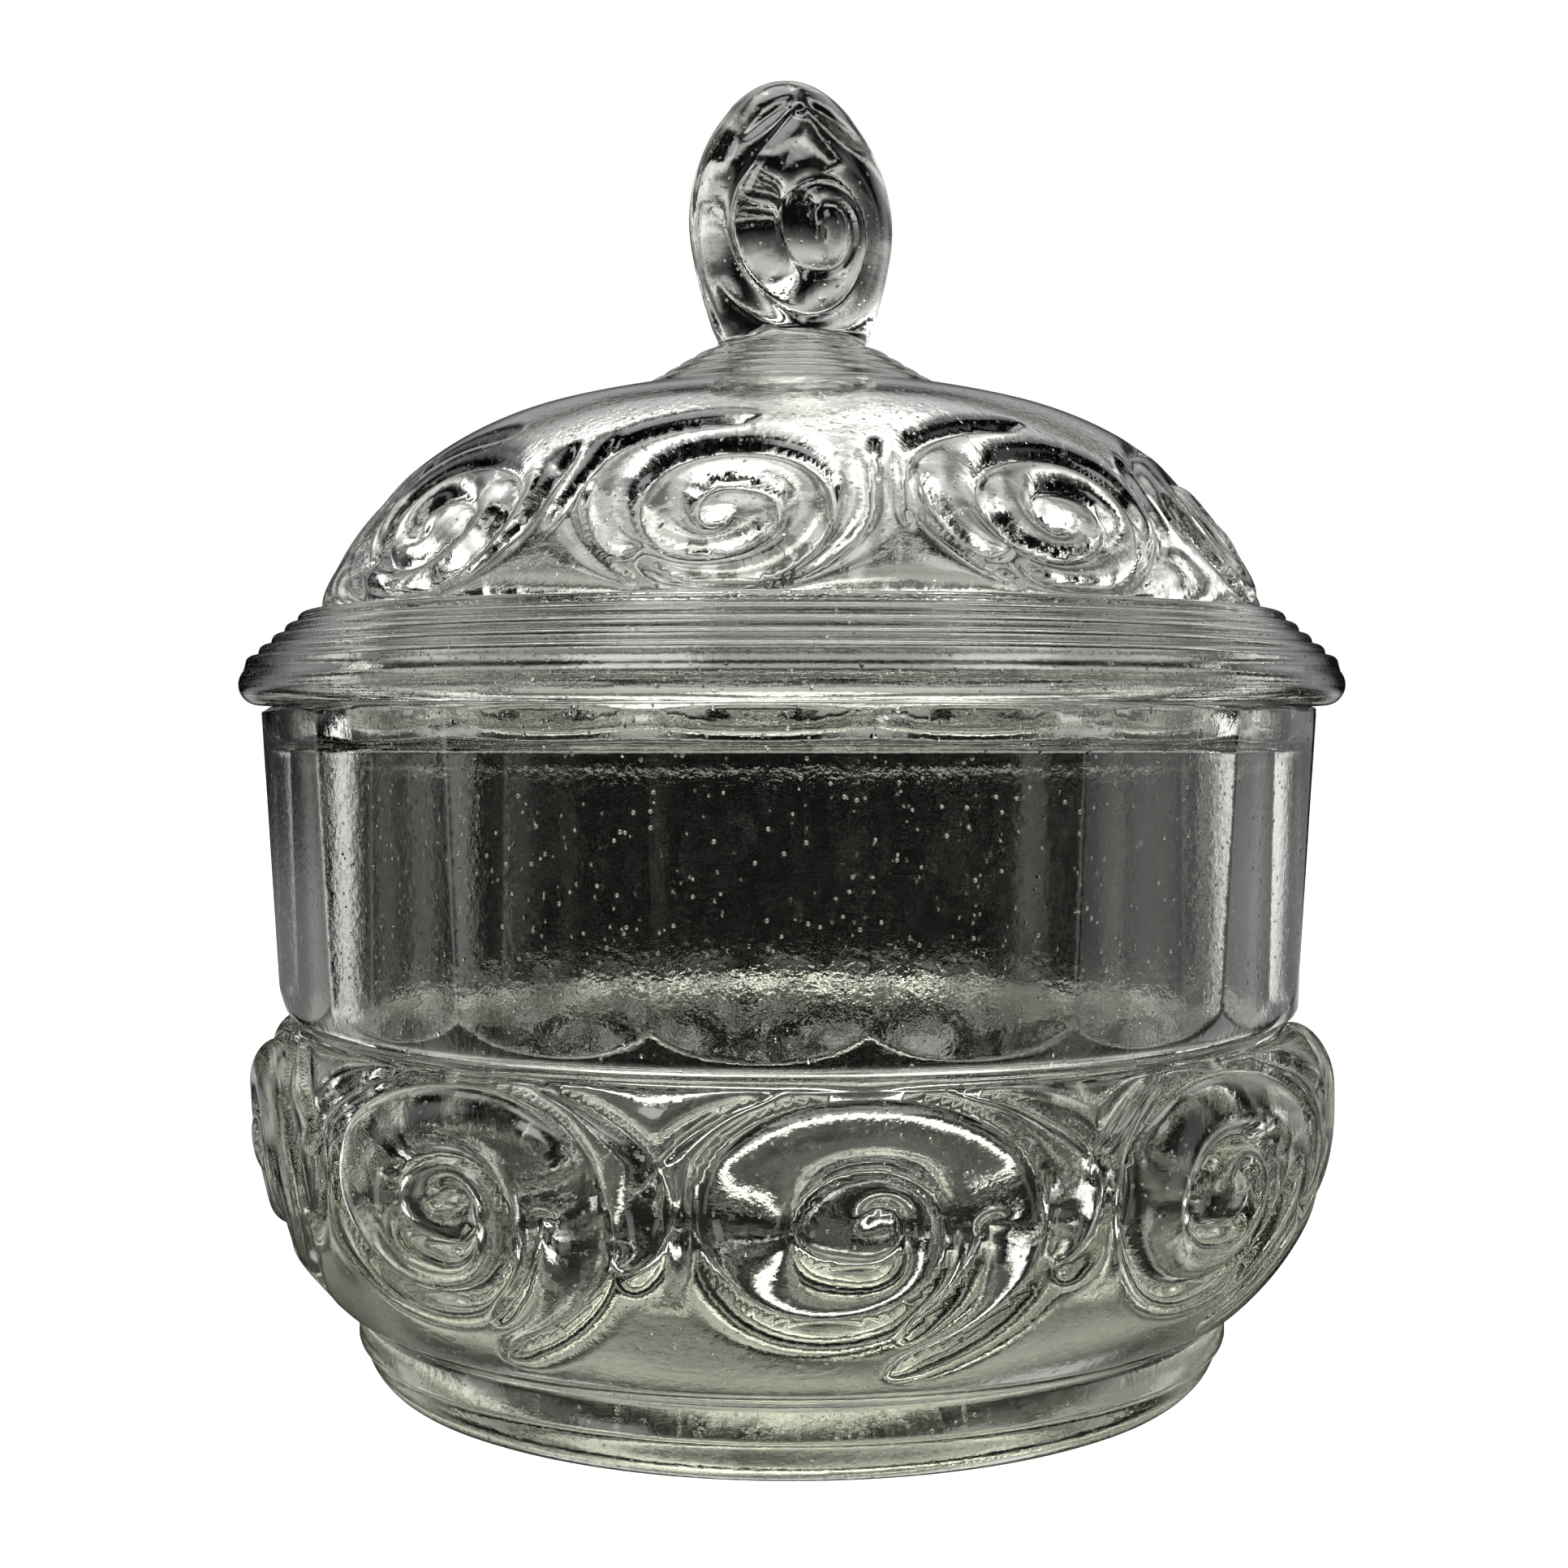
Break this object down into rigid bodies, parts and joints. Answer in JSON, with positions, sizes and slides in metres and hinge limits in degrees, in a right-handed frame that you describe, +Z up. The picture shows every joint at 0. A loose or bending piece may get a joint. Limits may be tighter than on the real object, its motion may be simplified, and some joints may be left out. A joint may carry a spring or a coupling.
{
  "type": "powder jar",
  "caption": "Round footed powder jar of clear pressed glass, with a volute band, a panelled wall and a domed lift-off lid with a flat shell-shaped knob.",
  "frame": {"origin": "middle of the foot's resting face", "axes": "+Z up along the jar's axis, -Y towards the front"},
  "size_m": [0.11, 0.11, 0.13],
  "materials": {
    "bowl_glass": "fire-polished pressed glass, faint green tint where it is thick",
    "lid_glass": "fire-polished pressed glass, faint green tint where it is thick"
  },
  "bodies": {
    "bowl": {"bowl": "bowl_glass"},
    "lid": {"lid": "lid_glass"}
  },
  "joints": [
    {"name": "lid_lift", "type": "slide", "parent": "bowl", "child": "lid", "axis": [0, 0, 1], "range_m": [0, 0.07]}
  ]
}
